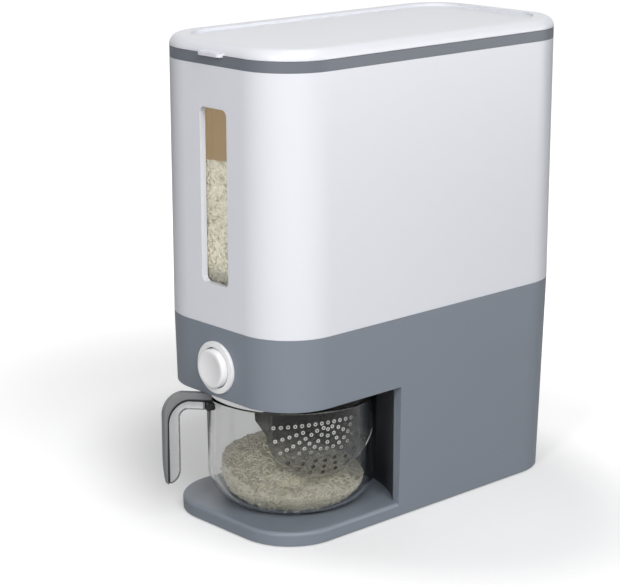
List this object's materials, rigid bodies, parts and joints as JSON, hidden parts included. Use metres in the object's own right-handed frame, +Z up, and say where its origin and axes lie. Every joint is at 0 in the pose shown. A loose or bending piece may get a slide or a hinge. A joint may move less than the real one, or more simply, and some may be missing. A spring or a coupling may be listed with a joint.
{
  "type": "rice dispenser",
  "caption": "Free-standing rice dispenser: a windowed hopper with a hinged lid on a base whose push button drops rice into a pull-out clear cup with a strainer and a handle.",
  "frame": {"origin": "under the middle of the whole object, on the plane that its feet stand on", "axes": "+Z up, +Y towards the back, +X to the right as seen from the front"},
  "size_m": [0.16, 0.3602, 0.387],
  "materials": {
    "white_shell": "gloss",
    "grey_shell": "satin",
    "clear_plastic": "gloss",
    "smoky_plastic": "gloss",
    "dark_plastic": "matte",
    "inner_plastic": "matte",
    "rubber": "matte",
    "silicone": "matte",
    "steel": "satin"
  },
  "bodies": {
    "housing": {"base_housing": "grey_shell", "bay_liner": "grey_shell", "bay_ceiling": "grey_shell", "base_plate": "grey_shell", "rubber_feet": "rubber", "base_screws": "steel", "upper_housing": "white_shell", "window_pane": "clear_plastic", "collar_ring": "grey_shell", "hinge_pin": "steel", "hopper_funnel": "inner_plastic", "chute": "inner_plastic", "gate_frame": "inner_plastic", "mechanism_screws": "steel", "button_bezel": "white_shell", "stem_guide": "inner_plastic", "return_spring": "steel"},
    "lid": {"lid": "white_shell", "lid_seal": "silicone"},
    "button": {"button_cap": "white_shell", "button_stem": "inner_plastic", "retaining_clip": "steel", "gate_plate": "inner_plastic"},
    "cup": {"cup_bowl": "clear_plastic", "strainer_panel": "smoky_plastic", "handle_strap": "grey_shell", "handle_core": "clear_plastic", "handle_clip": "dark_plastic"}
  },
  "joints": [
    {"name": "lid_hinge", "type": "hinge", "parent": "housing", "child": "lid", "pos_m": [0, 0.17613, 0.3781], "axis": [-1, 0, 0], "range_deg": [0, 100]},
    {"name": "button_press", "type": "slide", "parent": "housing", "child": "button", "axis": [0, 1, 0], "range_m": [0, 0.008], "stiffness_N_per_m": 300, "deforming": ["return_spring"]},
    {"name": "cup_slide", "type": "slide", "parent": "housing", "child": "cup", "axis": [0, -1, 0], "range_m": [0, 0.19]}
  ]
}
